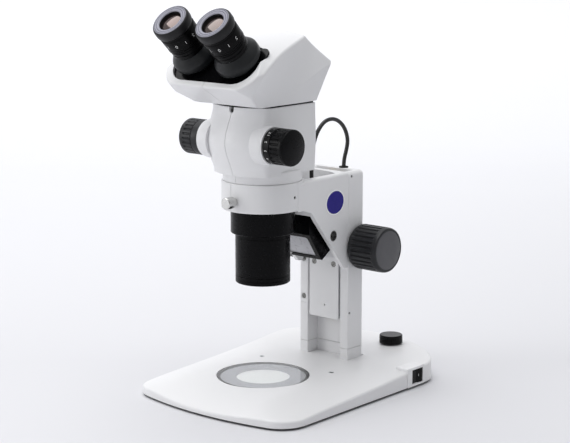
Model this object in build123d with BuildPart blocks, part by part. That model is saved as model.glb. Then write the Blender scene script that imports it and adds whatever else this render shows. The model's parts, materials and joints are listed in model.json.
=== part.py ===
"""Stereo microscope on a transmitted-light stand: zoom body and binocular head on a racked arm.

Millimetres, +Z up, +X to the user's right, +Y away from the user. The origin is on the
bench, under the middle of the whole instrument. Most sub-parts are drawn from the
optical axis, a vertical line that stands ahead of that origin.
"""
from math import atan2, cos, pi, radians, sin, sqrt, tan
import os

from build123d import *

os.makedirs("parts", exist_ok=True)

# ---- driving dimensions -------------------------------------------------------------
axis_y = -44.5            # optical axis, ahead of the origin
wall = 3.0                # moulded covers
gap = 0.3                 # clearance between bodies that move past each other
running = 0.04            # radial clearance of a shaft in its bush
seam = 0.4                # visible joint line between two covers
hair = 0.02               # clearance of a piece bedded in another

# base
base_half_width = 109.6
base_front_y = -101.0
base_front_radius = 360.0
base_rear_centre_y = 80.0
base_rear_radius = 134.0
base_corner_radius = 32.0
shell_bottom = 2.6
stage_z = 22.0
stage_radius = 50.0
stage_thickness = 5.0
lit_radius = 29.0
clip_x, clip_y = 50.0, 54.7
clip_hole_radius = 1.5
foot_radius = 9.0
foot_places = [(-86, -56), (86, -56), (-86, 140), (86, 140)]

# switch, dimmer and inlet on the base
switch_y, switch_z = 130.3, 13.0
rocker_tilt = 7.0         # the rocker rests pressed to one side
dimmer_x, dimmer_y = 33.0, 184.0
dimmer_radius = 13.2
dimmer_top_z = 36.0
inlet_y, inlet_z = 214.4, 14.0

# column
column_half_width = 34.4
column_front_y = 102.5
column_rear_y = 132.0
column_seam_z = 35.0
column_top_z = 233.6
recess_half_width = 23.0
recess_back_y = 119.0

# arm and ring
arm_top_z = 234.0
arm_front_y = 7.0
arm_rear_y = column_front_y - gap
ring_radius = 43.5
ring_bottom_z = 205.5
ring_top_z = 235.8
sleeve_radius = 38.0
slide_half_width = 20.5
slide_bottom_z = 66.3
slide_back_y = 110.0

# focus drive
focus_y, focus_z = 121.5, 149.5
focus_shaft_radius = 4.0
gear_module = 0.8
focus_teeth = 14
focus_knob_radius = 25.0
focus_knob_inner_x = 36.4
focus_knob_outer_x = 76.0
focus_knob_length = focus_knob_outer_x - focus_knob_inner_x

# zoom body
body_bottom_z = 245.0
body_top_z = 316.2
body_half_width = 39.5
body_rear_y = 41.5
zoom_y, zoom_z = -34.0, 279.0
zoom_teeth = 12
zoom_shaft_radius = 3.0
zoom_knob_radius = 18.8
zoom_knob_inner_x = 45.3
zoom_knob_outer_x = 71.6
zoom_knob_length = zoom_knob_outer_x - zoom_knob_inner_x

# binocular head
head_bottom_z = 318.2
panel_y, panel_z = -81.3, 346.5
panel_half_width = 55.0
panel_low = -5.0           # lower edge, down the slope from the panel's origin
panel_height = 45.5
tube_x = 29.0             # half the distance between the eyepieces
tube_u = 24.5             # tube centre, up the sloping panel
tube_length = 60.6        # panel to the rim of the eyecup

# ---- reference planes ---------------------------------------------------------------
AXIS = Plane((0, axis_y, 0))
SIDE = Plane((0, axis_y, 0), x_dir=(0, 1, 0), z_dir=(1, 0, 0))
LEFT = Plane((0, axis_y, 0), x_dir=(0, -1, 0), z_dir=(-1, 0, 0))
FRONT = Plane((0, axis_y, 0), x_dir=(1, 0, 0), z_dir=(0, -1, 0))
PANEL = Plane((0, axis_y + panel_y, panel_z), x_dir=(1, 0, 0), z_dir=(0, -1, 1))


def behind(y):
    """Plane facing the user, y behind the optical axis."""
    return FRONT.offset(-y)


def slab(plane, low, high, thickness):
    """Plain block on a plane, from one corner of a rectangle to the other."""
    width, height = high[0] - low[0], high[1] - low[1]
    with BuildPart(mode=Mode.PRIVATE) as block:
        with BuildSketch(plane):
            with Locations(((low[0] + high[0]) / 2, (low[1] + high[1]) / 2)):
                Rectangle(width, height)
        extrude(amount=thickness)
    return block.part


def disc(plane, centre, radius, thickness, bore=0):
    """Round plate or tube on a plane."""
    with BuildPart(mode=Mode.PRIVATE) as block:
        with BuildSketch(plane):
            with Locations(centre):
                Circle(radius)
                if bore:
                    Circle(bore, mode=Mode.SUBTRACT)
        extrude(amount=thickness)
    return block.part


def revolved(plane, points):
    """Solid turned about a plane's normal from (radius, height) points."""
    turning = Plane(plane.origin, x_dir=plane.x_dir, z_dir=-plane.y_dir)
    with BuildPart(mode=Mode.PRIVATE) as block:
        with BuildSketch(turning):
            with BuildLine():
                Polyline(*points, close=True)
            make_face()
        revolve(axis=Axis(plane.origin, plane.z_dir))
    return block.part


# ---- base ---------------------------------------------------------------------------
def base_outline(inset, height):
    """Plan of the base: bowed front, straight sides, round back."""
    half = base_half_width - inset
    front_y = base_front_y + inset
    side_front_y = front_y + half**2 / (2 * base_front_radius)
    rear_radius = base_rear_radius - inset
    side_rear_y = base_rear_centre_y + sqrt(rear_radius**2 - half**2)
    back_y = base_rear_centre_y + rear_radius
    with BuildSketch(AXIS.offset(height), mode=Mode.PRIVATE) as outline:
        with BuildLine():
            ThreePointArc((-half, side_front_y), (0, front_y), (half, side_front_y))
            Line((half, side_front_y), (half, side_rear_y))
            ThreePointArc((half, side_rear_y), (0, back_y), (-half, side_rear_y))
            Line((-half, side_rear_y), (-half, side_front_y))
        make_face()
        fillet(outline.vertices(), base_corner_radius - inset)
    return outline.sketch


# stations along the base: distance behind the axis, height of the middle, height at the side
CROWN = (
    (-116, 2.4, 2.2), (-92, 11.6, 6.9), (-68, 19.6, 8.8), (-45, 22, 10.4), (0, 22, 12.7),
    (45, 22, 15.0), (90, 22, 17.8), (135, 23.0, 21.6), (180, 25.2, 25.0), (222, 27.2, 27.0),
)
crown_flat = 58.0         # half-width of the level middle
crown_bend = 84.0
crown_reach = 130.0       # the sections run on past the sides
crown_share = 0.595       # part of the fall to crown_reach that is reached at the side


def crowned_block(drop):
    """Everything under the base's gently crowned top, wider than the base."""
    with BuildPart(mode=Mode.PRIVATE) as block:
        for y, middle, side in CROWN:
            top = middle - drop
            low = top - (middle - side) / crown_share
            with BuildSketch(behind(y)):
                with BuildLine():
                    Bezier((-crown_reach, low), (-crown_bend, top), (-crown_flat, top))
                    Line((-crown_flat, top), (crown_flat, top))
                    Bezier((crown_flat, top), (crown_bend, top), (crown_reach, low))
                    Polyline(
                        (crown_reach, low), (crown_reach, -40), (-crown_reach, -40), (-crown_reach, low)
                    )
                make_face()
        loft()
    return block.part


def base_solid(inset, drop, bottom):
    """The base's outside, or its cavity when inset and dropped by the wall."""
    with BuildPart(mode=Mode.PRIVATE) as solid:
        add(base_outline(inset, bottom))
        extrude(amount=40)
        add(crowned_block(drop), mode=Mode.INTERSECT)
    return solid.part


switch_block = slab(SIDE.offset(94), (switch_y - 17.8, shell_bottom), (switch_y + 12.2, 23.7), 16.4)
column_socket = slab(
    AXIS.offset(21.5),
    (-column_half_width - hair, column_front_y - hair),
    (column_half_width + hair, column_rear_y + hair),
    20,
)

with BuildPart() as base_shell:
    add(base_solid(0, 0, shell_bottom))
    fillet(base_shell.faces().sort_by(Axis.Z)[-1].outer_wire().edges(), 2.6)
    add(base_solid(wall, wall, 0), mode=Mode.SUBTRACT)
    add(disc(AXIS.offset(13), (0, 0), stage_radius + 4, 6))
    add(disc(AXIS.offset(stage_z - stage_thickness), (0, 0), stage_radius + gap, 10), mode=Mode.SUBTRACT)
    add(disc(AXIS, (0, 0), stage_radius - 4, 30), mode=Mode.SUBTRACT)
    for side in (-1, 1):
        add(disc(AXIS, (side * clip_x, clip_y), 3 + hair, 30), mode=Mode.SUBTRACT)
    add(column_socket, mode=Mode.SUBTRACT)
    add(disc(AXIS, (dimmer_x, dimmer_y), 3.6, 40), mode=Mode.SUBTRACT)
    add(switch_block, mode=Mode.SUBTRACT)
    add(slab(behind(inlet_y + 1), (-13.6, inlet_z - 9.1), (13.6, inlet_z + 9.1), 20), mode=Mode.SUBTRACT)
    add(slab(behind(inlet_y + 1), (-15.1, inlet_z - 10.1), (15.1, inlet_z + 10.1), 2.6), mode=Mode.SUBTRACT)
base_shell.part.label = "base_shell"
export_step(base_shell.part, "parts/base_shell.step")

with BuildPart() as base_bottom_plate:
    add(base_outline(1.4, 1.2))
    extrude(amount=shell_bottom - 1.2)
    with BuildSketch(AXIS):
        with Locations(*foot_places):
            Circle(foot_radius + hair)
    extrude(amount=10, mode=Mode.SUBTRACT)
base_bottom_plate.part.label = "base_bottom_plate"
export_step(base_bottom_plate.part, "parts/base_bottom_plate.step")

with BuildPart() as rubber_feet:
    with BuildSketch(AXIS):
        with Locations(*foot_places):
            Circle(foot_radius)
    extrude(amount=shell_bottom)
    chamfer(rubber_feet.edges().group_by(Axis.Z)[0], 0.6)
rubber_feet.part.label = "rubber_feet"
export_step(rubber_feet.part, "parts/rubber_feet.step")

# light box under the stage plate
mask_z = stage_z - stage_thickness - 1.6

with BuildPart() as light_mask_ring:
    add(disc(AXIS.offset(mask_z), (0, 0), stage_radius - 4.1, 1.58, bore=lit_radius))
    well_wall = disc(AXIS, (0, 0), stage_radius - 4.1, mask_z, bore=stage_radius - 6)
    add(well_wall - slab(AXIS, (-60, -60), (60, 60), shell_bottom + hair))
light_mask_ring.part.label = "light_mask_ring"
export_step(light_mask_ring.part, "parts/light_mask_ring.step")

with BuildPart() as light_diffuser:
    add(disc(AXIS.offset(mask_z - 2.5), (0, 0), lit_radius + 5, 2.48))
light_diffuser.part.label = "light_diffuser"
export_step(light_diffuser.part, "parts/light_diffuser.step")

with BuildPart() as base_led_board:
    add(disc(AXIS.offset(6), (0, 0), stage_radius - 6.1, 1.6))
    with BuildSketch(AXIS.offset(7.6)):
        with GridLocations(11, 11, 5, 5):
            Rectangle(3, 3)
    extrude(amount=0.8)
base_led_board.part.label = "base_led_board"
export_step(base_led_board.part, "parts/base_led_board.step")

with BuildPart() as stage_plate:
    add(disc(AXIS.offset(stage_z - stage_thickness), (0, 0), stage_radius, stage_thickness))
    chamfer(stage_plate.edges(), 0.4)
stage_plate.part.label = "stage_plate"
export_step(stage_plate.part, "parts/stage_plate.step")

with BuildPart() as clip_sockets:
    for side in (-1, 1):
        add(disc(AXIS.offset(12), (side * clip_x, clip_y), 3, stage_z - 12, bore=clip_hole_radius))
clip_sockets.part.label = "clip_sockets"
export_step(clip_sockets.part, "parts/clip_sockets.step")

# switch: a block let into the right side, with a rocker that turns on an upright pin
with BuildPart() as switch_housing:
    add(
        slab(
            SIDE.offset(94 + hair),
            (switch_y - 17.8 + hair, shell_bottom + hair),
            (switch_y + 12.2 - hair, 23.7),
            16.4,
        )
    )
    fillet(switch_housing.edges().filter_by(Axis.X), 0.8)
    add(
        slab(SIDE.offset(99), (switch_y - 9.7, switch_z - 8), (switch_y + 9.7, switch_z + 8), 20),
        mode=Mode.SUBTRACT,
    )
    add(disc(AXIS.offset(4), (102.4, switch_y), 1.2, 18))
switch_housing.part.label = "switch_housing"
export_step(switch_housing.part, "parts/switch_housing.step")

with BuildPart() as power_rocker:
    rocker_plane = Plane((102.4, axis_y + switch_y, switch_z - 7.7)).rotated((0, 0, -rocker_tilt))
    with BuildSketch(rocker_plane):
        with BuildLine():
            Polyline(
                (-1.8, -3), (5.4, -8.6), (7.4, -8.6), (6.1, 0), (7.4, 8.6), (5.4, 8.6), (-1.8, 3), close=True
            )
        make_face()
        Circle(1.2 + running, mode=Mode.SUBTRACT)
    extrude(amount=15.4)
power_rocker.part.label = "power_rocker"
export_step(power_rocker.part, "parts/power_rocker.step")

# dimmer: a control on the board, with a round knob on top of the base
with BuildPart() as control_board:
    add(slab(AXIS.offset(5), (-60, 152), (60, 191), 1.6))
    add(disc(AXIS.offset(6.6), (dimmer_x, dimmer_y), 5.6, 10))
    add(disc(AXIS.offset(6.6), (dimmer_x, dimmer_y), 3.5, 18))
    add(disc(AXIS.offset(10), (dimmer_x, dimmer_y), 2 + running, 20), mode=Mode.SUBTRACT)
    add(slab(AXIS.offset(6.6), (-50, 158), (-18, 184), 11))
    add(slab(AXIS.offset(6.6), (-8, 160), (8, 176), 8))
control_board.part.label = "control_board"
export_step(control_board.part, "parts/control_board.step")

with BuildPart() as brightness_knob:
    add(disc(AXIS.offset(26.4), (dimmer_x, dimmer_y), dimmer_radius, dimmer_top_z - 26.4))
    fillet(brightness_knob.edges().group_by(Axis.Z)[-1], 1.2)
    add(disc(AXIS.offset(26.3), (dimmer_x, dimmer_y), 9, 2), mode=Mode.SUBTRACT)
    add(disc(AXIS.offset(11), (dimmer_x, dimmer_y), 2, 20))
    with BuildSketch(AXIS.offset(27.5)):
        with Locations((dimmer_x, dimmer_y)):
            with PolarLocations(dimmer_radius, 36):
                Circle(0.45)
    extrude(amount=6.4, mode=Mode.SUBTRACT)
brightness_knob.part.label = "brightness_knob"
export_step(brightness_knob.part, "parts/brightness_knob.step")

with BuildPart() as power_inlet:
    add(slab(behind(inlet_y), (-15, inlet_z - 10), (15, inlet_z + 10), 1.5))
    add(slab(behind(inlet_y - 1.5), (-13.5, inlet_z - 9), (13.5, inlet_z + 9), 16))
    add(slab(behind(inlet_y), (-11.5, inlet_z - 7.5), (11.5, inlet_z + 7.5), 13), mode=Mode.SUBTRACT)
    for x, z in ((-7, -2), (0, 2), (7, -2)):
        add(slab(behind(inlet_y - 3), (x - 1, inlet_z + z - 2), (x + 1, inlet_z + z + 2), 11))
power_inlet.part.label = "power_inlet"
export_step(power_inlet.part, "parts/power_inlet.step")


# ---- column -------------------------------------------------------------------------
def column_plan(height):
    """Section of the column: a box with a deep recess in front and round rear corners."""
    with BuildSketch(AXIS.offset(height), mode=Mode.PRIVATE) as plan:
        with BuildLine():
            Polyline(
                (-column_half_width, column_front_y),
                (-recess_half_width, column_front_y),
                (-recess_half_width, recess_back_y),
                (recess_half_width, recess_back_y),
                (recess_half_width, column_front_y),
                (column_half_width, column_front_y),
                (column_half_width, column_rear_y),
                (-column_half_width, column_rear_y),
                close=True,
            )
        make_face()
        fillet(plan.vertices().group_by(Axis.Y)[-1], 7)
        fillet(plan.vertices().group_by(Axis.Y)[0], 1)
    return plan.sketch


with BuildPart() as column_foot:
    add(column_plan(21.5))
    extrude(amount=column_seam_z - seam / 2 - 21.5)
column_foot.part.label = "column_foot"
export_step(column_foot.part, "parts/column_foot.step")

cavity_half_width = 25.0
cavity_front_y = 122.0
cover_y = 129.9
gib_x, gib_zs = -29.0, (86.4, 129.6)
cover_screw_x, cover_screw_zs = 27.0, (52.0, 214.0)
grommet_x, grommet_y = 8.0, 126.4

with BuildPart() as column_housing:
    add(column_plan(column_seam_z + seam / 2))
    extrude(amount=column_top_z - column_seam_z - seam / 2)
    top_edges = column_housing.faces().sort_by(Axis.Z)[-1].edges().sort_by(Axis.Y)
    fillet(top_edges[-1], 5)
    add(
        slab(behind(column_rear_y + 1), (-cavity_half_width, 46), (cavity_half_width, 221), 11),
        mode=Mode.SUBTRACT,
    )
    cover_depth = column_rear_y + 1 - cover_y
    add(slab(behind(column_rear_y + 1), (-29, 44), (29, 223), cover_depth), mode=Mode.SUBTRACT)
    add(slab(AXIS.offset(focus_z - 8), (-8, 118), (8, 124), 16), mode=Mode.SUBTRACT)
    add(disc(SIDE.offset(-60), (focus_y, focus_z), 7 + hair, 120), mode=Mode.SUBTRACT)
    add(disc(AXIS.offset(225), (grommet_x, grommet_y), 4.6, 20), mode=Mode.SUBTRACT)
    add(disc(AXIS.offset(220), (grommet_x, grommet_y), 3, 20), mode=Mode.SUBTRACT)
    for z in gib_zs:
        add(disc(behind(column_front_y + 1.6), (gib_x, z), 3.2, 5), mode=Mode.SUBTRACT)
        add(disc(behind(column_front_y + 12), (gib_x, z), 1.5 + hair, 15), mode=Mode.SUBTRACT)
    for z in cover_screw_zs:
        for side in (-1, 1):
            add(disc(behind(cover_y + 1), (side * cover_screw_x, z), 1.5 + hair, 7), mode=Mode.SUBTRACT)
    add(slab(behind(column_front_y + 0.4), (-33, 78.7), (-24.5, 79.3), 2), mode=Mode.SUBTRACT)
    for side in (-1, 1):
        for y, z in ((105.6, 75.7), (107.7, 228.5)):
            add(disc(SIDE.offset(side * 32.4 - 4), (y, z), 1.5, 8), mode=Mode.SUBTRACT)
column_housing.part.label = "column_housing"
export_step(column_housing.part, "parts/column_housing.step")

with BuildPart() as column_rear_cover:
    add(slab(behind(column_rear_y - 0.1), (-29 + gap, 44 + gap), (29 - gap, 223 - gap), 1.98))
    fillet(column_rear_cover.edges().filter_by(Axis.Y), 3)
    for z in cover_screw_zs:
        for side in (-1, 1):
            add(disc(behind(140), (side * cover_screw_x, z), 1.5 + hair, 20), mode=Mode.SUBTRACT)
column_rear_cover.part.label = "column_rear_cover"
export_step(column_rear_cover.part, "parts/column_rear_cover.step")

with BuildPart() as cable_grommet:
    add(disc(AXIS.offset(225 + hair), (grommet_x, grommet_y), 4.6 - hair, 10, bore=2.24))
    add(disc(AXIS.offset(column_top_z + hair), (grommet_x, grommet_y), 5.2, 1.2, bore=2.24))
cable_grommet.part.label = "cable_grommet"
export_step(cable_grommet.part, "parts/cable_grommet.step")

rail_inner_x, rail_front_y, rail_rear_y = 18.5, 104.6, 109.0
rail_bottom_z, rail_top_z = 70.0, 230.0

with BuildPart() as guide_rails:
    for side in (-1, 1):
        inner, outer = sorted((side * rail_inner_x, side * (recess_half_width - hair)))
        rail_length = rail_top_z - rail_bottom_z
        add(slab(AXIS.offset(rail_bottom_z), (inner, rail_front_y), (outer, rail_rear_y), rail_length))
guide_rails.part.label = "guide_rails"
export_step(guide_rails.part, "parts/guide_rails.step")


def slotted_screw(plane, centre, head_radius, head_height, shank_radius, shank_length):
    """Cheese-head screw: the plane lies on top of its head, facing out."""
    with BuildPart(mode=Mode.PRIVATE) as screw:
        add(disc(plane.offset(-head_height), centre, head_radius, head_height))
        add(disc(plane.offset(-head_height - shank_length), centre, shank_radius, shank_length))
        with BuildSketch(plane):
            with Locations(centre):
                Rectangle(head_radius * 3, 0.7, rotation=55)
        extrude(amount=-head_height * 0.5, mode=Mode.SUBTRACT)
    return screw.part


REAR = Plane((0, axis_y + column_rear_y, 0), x_dir=(-1, 0, 0), z_dir=(0, 1, 0))

with BuildPart() as column_screws:
    for z in gib_zs:
        add(slotted_screw(behind(column_front_y + 0.3), (gib_x, z), 2.7, 1.28, 1.5, 9))
    for z in cover_screw_zs:
        for side in (-1, 1):
            add(slotted_screw(REAR.offset(1.1), (side * cover_screw_x, z), 2.7, 1.18, 1.5, 7))
column_screws.part.label = "column_screws"
export_step(column_screws.part, "parts/column_screws.step")

# ---- focus drive --------------------------------------------------------------------
focus_pitch_radius = focus_teeth * gear_module / 2
zoom_pitch_radius = zoom_teeth * gear_module / 2


def gear_sketch(plane, centre, teeth, phase):
    """Spur gear with straight-sided teeth and a little backlash."""
    pitch = teeth * gear_module / 2
    root, tip = pitch - 1.15 * gear_module, pitch + 0.9 * gear_module
    root_half, tip_half = 0.78 * gear_module, 0.34 * gear_module
    with BuildSketch(plane, mode=Mode.PRIVATE) as gear:
        with Locations(centre):
            Circle(root)
            with PolarLocations(0, teeth, start_angle=phase):
                Polygon(
                    (0, -root_half), (root, -root_half), (tip, -tip_half),
                    (tip, tip_half), (root, root_half), (0, root_half), align=None,
                )
    return gear.sketch


def rack_sketch(plane, pitch_y, back_y, low, high, middle):
    """Rack seen from the side: teeth point along +x when back_y is below pitch_y."""
    facing = 1 if pitch_y > back_y else -1
    root, tip = pitch_y - facing * 1.15 * gear_module, pitch_y + facing * 0.9 * gear_module
    pitch = pi * gear_module
    root_half, tip_half = 0.98 * gear_module, 0.30 * gear_module
    count = int((high - middle) / pitch) - 1
    lowest = -int((middle - low) / pitch) + 1
    with BuildSketch(plane, mode=Mode.PRIVATE) as rack:
        with Locations(((root + back_y) / 2, (low + high) / 2)):
            Rectangle(abs(root - back_y), high - low)
        for number in range(lowest, count):
            z = middle + (number + 0.5) * pitch
            Polygon(
                (root - facing * 0.2, z - root_half), (root, z - root_half), (tip, z - tip_half),
                (tip, z + tip_half), (root, z + root_half), (root - facing * 0.2, z + root_half), align=None,
            )
    return rack.sketch


with BuildPart() as focus_shaft:
    add(disc(SIDE.offset(-70), (focus_y, focus_z), focus_shaft_radius, 140))
    extrude(gear_sketch(SIDE.offset(-7), (focus_y, focus_z), focus_teeth, 180), amount=14, dir=(1, 0, 0))
focus_shaft.part.label = "focus_shaft"
export_step(focus_shaft.part, "parts/focus_shaft.step")

with BuildPart() as focus_bushes:
    for start in (cavity_half_width, -35.9):
        add(disc(SIDE.offset(start), (focus_y, focus_z), 7, 10.9, bore=focus_shaft_radius + running))
focus_bushes.part.label = "focus_bushes"
export_step(focus_bushes.part, "parts/focus_bushes.step")


def ribbed_knob(plane, centre, radius, length, ribs, rib_start, rib_end, bore):
    """Round knob with long moulded ribs between two plain rims; the plane is its inner face."""
    depth = 0.04 * radius
    with BuildPart(mode=Mode.PRIVATE) as knob:
        add(disc(plane, centre, radius - depth, length))
        with BuildSketch(plane.offset(rib_start)):
            with Locations(centre):
                with PolarLocations(radius - depth - 0.2, ribs):
                    with Locations((depth / 2 + 0.1, 0)):
                        Rectangle(depth + 0.2, pi * radius / ribs)
        extrude(amount=rib_end - rib_start)
        add(disc(plane, centre, radius, rib_start - 1.2))
        add(disc(plane.offset(rib_end + 0.6), centre, radius - depth * 0.4, length - rib_end - 1.6))
        add(disc(plane.offset(-5), centre, bore, length), mode=Mode.SUBTRACT)
    return knob.part


def focus_knob(plane, centre):
    """Large knob of the focus drive."""
    bore = focus_shaft_radius + hair
    return ribbed_knob(plane, centre, focus_knob_radius, focus_knob_length, 28, 5, 33, bore)


def zoom_knob(plane, centre):
    """Knob of the zoom drive: its inner half is a plain drum."""
    bore = zoom_shaft_radius + hair
    return ribbed_knob(plane, centre, zoom_knob_radius, zoom_knob_length, 20, 8, 21, bore)


with BuildPart() as focus_knob_right:
    add(focus_knob(SIDE.offset(focus_knob_inner_x), (focus_y, focus_z)))
focus_knob_right.part.label = "focus_knob_right"
export_step(focus_knob_right.part, "parts/focus_knob_right.step")

with BuildPart() as focus_knob_left:
    add(focus_knob(LEFT.offset(focus_knob_inner_x), (-focus_y, focus_z)))
focus_knob_left.part.label = "focus_knob_left"
export_step(focus_knob_left.part, "parts/focus_knob_left.step")

# ---- arm ----------------------------------------------------------------------------
def taper_x(y, inset=0):
    """Half-width of the arm, which narrows from the ring to the column."""
    share = (y - arm_front_y) / (column_front_y - arm_front_y)
    return ring_radius - 0.6 + share * (column_half_width - ring_radius + 0.6) - inset


def tapered_block(bottom, top, front_y, rear_y, inset=0):
    """Block as wide as the arm, between two distances from the optical axis."""
    front_x, rear_x = taper_x(front_y, inset), taper_x(rear_y, inset)
    with BuildPart(mode=Mode.PRIVATE) as block:
        with BuildSketch(AXIS.offset(bottom)):
            with BuildLine():
                Polyline(
                    (-front_x, front_y), (front_x, front_y), (rear_x, rear_y), (-rear_x, rear_y), close=True
                )
            make_face()
        extrude(amount=top - bottom)
    return block.part


# lower edge of the cheeks, from the ring down to the column: distance behind the axis, height
cheek_edge = ((16, 204), (32, 199.4), (41.6, 187.7), (72.6, 153.6), (95, 128))
cheek_wall = 5.0
roof_z = 208.0
arm_web_y = 97.0
arm_web_bottom_z = 137.0
pocket_floor_z = 213.0
pocket_half_width = 28.5
pocket_front_y, pocket_side_y, pocket_back_y = 30.0, 86.0, 94.0
lamp_screw_y, lamp_screw_z = 73.4, 168.1
badge_y, badge_z = 75.5, 204.6

with BuildPart() as arm_casting:
    with BuildSketch(SIDE.offset(-60)) as arm_side:
        with BuildLine():
            Polyline(
                (arm_front_y, 204), *cheek_edge, (arm_rear_y, 128), (arm_rear_y, arm_top_z),
                (arm_front_y, arm_top_z), close=True,
            )
        make_face()
        fillet(arm_side.vertices().filter_by(lambda corner: 20 < corner.X < 80), 8)
    extrude(amount=120)
    add(tapered_block(100, arm_top_z + 10, arm_front_y, arm_rear_y), mode=Mode.INTERSECT)
    long_top = arm_casting.faces().sort_by(Axis.Z)[-1].edges().filter_by(lambda e: e.length > 90)
    fillet(long_top, 3)
    add(disc(AXIS.offset(ring_bottom_z), (0, 0), ring_radius - 0.05, ring_top_z - ring_bottom_z))
    add(tapered_block(100, roof_z, 36, arm_web_y, cheek_wall), mode=Mode.SUBTRACT)
    add(tapered_block(100, arm_web_bottom_z, 36, arm_rear_y + 1, cheek_wall), mode=Mode.SUBTRACT)
    with BuildSketch(AXIS.offset(pocket_floor_z)):
        with BuildLine():
            Polyline(
                (-pocket_half_width, pocket_side_y), (-pocket_half_width, pocket_front_y),
                (pocket_half_width, pocket_front_y), (pocket_half_width, pocket_side_y),
            )
            ThreePointArc(
                (-pocket_half_width, pocket_side_y), (0, pocket_back_y), (pocket_half_width, pocket_side_y)
            )
        make_face()
    extrude(amount=40, mode=Mode.SUBTRACT)
    add(disc(AXIS, (0, 0), sleeve_radius + 0.06, 300), mode=Mode.SUBTRACT)
    add(slab(AXIS, (-100, -100), (100, arm_front_y + seam / 2), 300), mode=Mode.SUBTRACT)
    for side in (-1, 1):
        add(disc(SIDE.offset(side * 38.2 - 3), (lamp_screw_y, lamp_screw_z), 6, 6), mode=Mode.SUBTRACT)
        lamp_screw = lamp_screw_y, lamp_screw_z
        add(disc(SIDE.offset(side * 35 - 8), lamp_screw, 2.5 + hair, 16), mode=Mode.SUBTRACT)
arm_casting.part.label = "arm_casting"
export_step(arm_casting.part, "parts/arm_casting.step")

with BuildPart() as ring_holder:
    ring_height = ring_top_z - ring_bottom_z
    add(disc(AXIS.offset(ring_bottom_z), (0, 0), ring_radius, ring_height, bore=sleeve_radius + 0.06))
    fillet(ring_holder.edges().filter_by(GeomType.CIRCLE).filter_by(lambda e: e.radius > 40), 1.2)
    add(slab(AXIS, (-100, arm_front_y - seam / 2), (100, 100), 300), mode=Mode.SUBTRACT)
    add(slab(AXIS, (-6.2, -50), (-5.8, -ring_radius + 0.9), 300), mode=Mode.SUBTRACT)
    add(disc(FRONT.offset(30), (0, 217), 3 + running, 30), mode=Mode.SUBTRACT)
    for side in (-1, 1):
        add(disc(SIDE.offset(side * 43.5 - 4.5), (1.5, 220.5), 1.7, 9), mode=Mode.SUBTRACT)
ring_holder.part.label = "ring_holder"
export_step(ring_holder.part, "parts/ring_holder.step")

with BuildPart() as ring_clamp_knob:
    add(disc(FRONT.offset(sleeve_radius + 0.4), (0, 217), 3, 10))
    add(disc(FRONT.offset(ring_radius + 0.5), (0, 217), 4.2, 4))
    add(disc(FRONT.offset(ring_radius + 3.6), (0, 217), 6.2, 11))
    fillet(ring_clamp_knob.edges().filter_by(GeomType.CIRCLE).filter_by(lambda e: e.radius > 6), 1.2)
ring_clamp_knob.part.label = "ring_clamp_knob"
export_step(ring_clamp_knob.part, "parts/ring_clamp_knob.step")

rail_clearance = 0.3

with BuildPart() as slide_plate:
    slide_front_y, slide_length = arm_rear_y + hair, 232 - slide_bottom_z
    low_corner, high_corner = (-slide_half_width, slide_front_y), (slide_half_width, slide_back_y)
    add(slab(AXIS.offset(slide_bottom_z), low_corner, high_corner, slide_length))
    fillet(slide_plate.edges().filter_by(Axis.Y).group_by(Axis.Z)[0], 2)
    for side in (-1, 1):
        low, high = sorted((side * (rail_inner_x - rail_clearance), side * 30))
        groove_front_y, groove_rear_y = rail_front_y - rail_clearance, rail_rear_y + rail_clearance
        add(slab(AXIS, (low, groove_front_y), (high, groove_rear_y), 300), mode=Mode.SUBTRACT)
        add(disc(behind(arm_rear_y + 1.8), (side * 13.7, 128.7), 3.4, 5), mode=Mode.SUBTRACT)
        add(disc(behind(slide_back_y + 1), (side * 13.7, 128.7), 1.6 + hair, 12), mode=Mode.SUBTRACT)
    add(disc(behind(arm_rear_y + 3), (1.4, 80.7), 1, 5), mode=Mode.SUBTRACT)
slide_plate.part.label = "slide_plate"
export_step(slide_plate.part, "parts/slide_plate.step")

rack_pitch_y = focus_y - focus_pitch_radius
rack_bottom_z, rack_top_z = slide_bottom_z + 0.4, 231
focus_rack_side = rack_sketch(
    SIDE.offset(-6), rack_pitch_y, slide_back_y + hair, rack_bottom_z, rack_top_z, focus_z
)
with BuildPart() as focus_rack:
    extrude(focus_rack_side, amount=12, dir=(1, 0, 0))
focus_rack.part.label = "focus_rack"
export_step(focus_rack.part, "parts/focus_rack.step")

with BuildPart() as arm_screws:
    for side in (-1, 1):
        add(slotted_screw(behind(arm_rear_y + 0.2), (side * 13.7, 128.7), 3.1, 1.58, 1.6, 5))
    add(slotted_screw(SIDE.offset(37.2), (lamp_screw_y, lamp_screw_z), 5.2, 2, 2.5, 6))
    add(slotted_screw(LEFT.offset(37.2), (-lamp_screw_y, lamp_screw_z), 5.2, 2, 2.5, 6))
arm_screws.part.label = "arm_screws"
export_step(arm_screws.part, "parts/arm_screws.step")

taper = atan2(ring_radius - 0.6 - column_half_width, column_front_y - arm_front_y)
CHEEK = Plane(
    (taper_x(badge_y), axis_y + badge_y, badge_z),
    x_dir=(-sin(taper), cos(taper), 0),
    z_dir=(cos(taper), sin(taper), 0),
)

with BuildPart() as arm_badge:
    with BuildSketch(CHEEK.offset(hair)):
        Ellipse(16.6, 12.6)
    extrude(amount=0.6)
arm_badge.part.label = "arm_badge"
export_step(arm_badge.part, "parts/arm_badge.step")

# ---- lamp under the arm -------------------------------------------------------------
lamp_front = ((44, 203), (44, 172), (65, 141))      # front face, then the window's slope
lamp_back = ((83, 152.4), (96, 170), (96, 203))
lamp_half_width = 27.5
slope = 21 / sqrt(21**2 + 31**2), 31 / sqrt(21**2 + 31**2)
WINDOW = Plane((0, axis_y + 54.5, 156.5), x_dir=(1, 0, 0), z_dir=(0, -slope[1], -slope[0]))

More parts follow.
